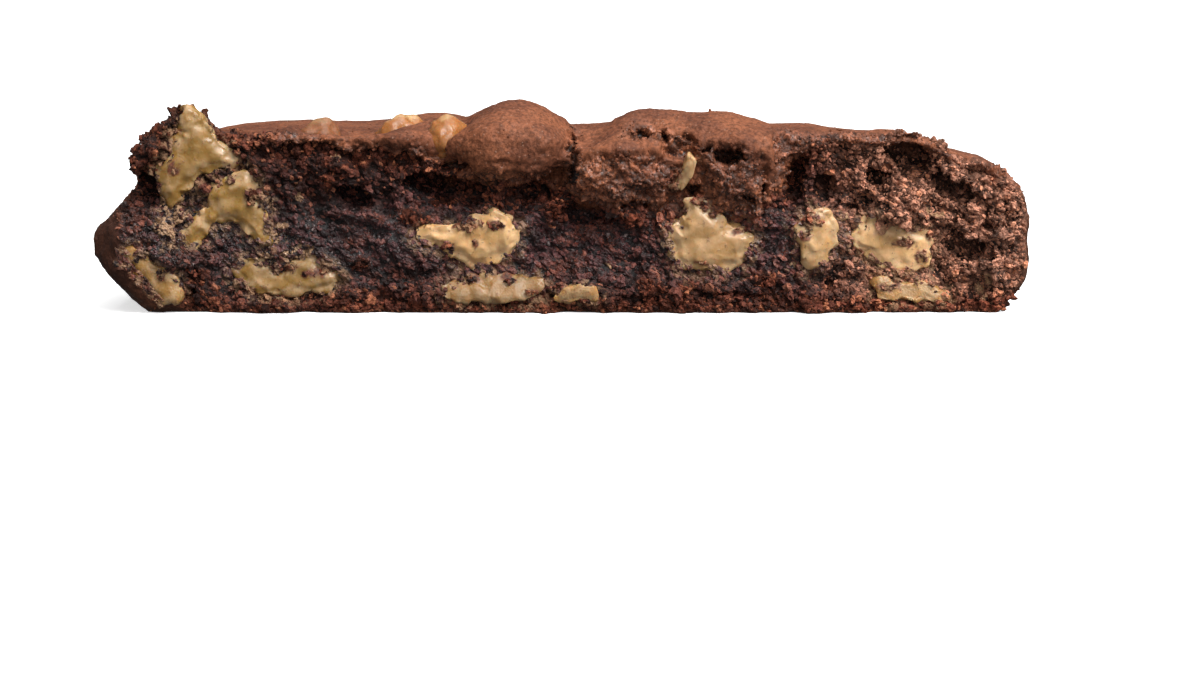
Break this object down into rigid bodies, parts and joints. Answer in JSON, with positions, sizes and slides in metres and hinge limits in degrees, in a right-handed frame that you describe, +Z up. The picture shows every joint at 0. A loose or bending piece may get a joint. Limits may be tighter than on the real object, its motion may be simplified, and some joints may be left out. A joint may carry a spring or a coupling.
{
  "type": "chocolate brownie",
  "caption": "Half of a thick round chocolate brownie, broken across the middle, with a flat base, a domed baked crust, a torn crumb face and peanut butter chips.",
  "frame": {"origin": "middle of the footprint, on the flat base", "axes": "+X along the broken face, -Y out of the broken face, +Z up through the crust"},
  "size_m": [0.0952, 0.0514, 0.0215],
  "materials": {
    "brownie": "matte crumb with a slightly shiny crust",
    "peanut_butter": "smooth, waxy, half matt"
  },
  "bodies": {
    "root": {"brownie_crumb": "brownie", "chip_bottom": "peanut_butter", "chip_centre": "peanut_butter", "chip_crust_back": "peanut_butter", "chip_crust_front": "peanut_butter", "chip_crust_front_left": "peanut_butter", "chip_crust_left": "peanut_butter", "chip_crust_right": "peanut_butter", "chip_left_arch": "peanut_butter", "chip_left_edge": "peanut_butter", "chip_left_high": "peanut_butter", "chip_left_low": "peanut_butter", "chip_middle_left": "peanut_butter", "chip_middle_low": "peanut_butter", "chip_right_big": "peanut_butter", "chip_right_low": "peanut_butter", "chip_right_middle": "peanut_butter", "chip_sliver": "peanut_butter"}
  },
  "joints": []
}
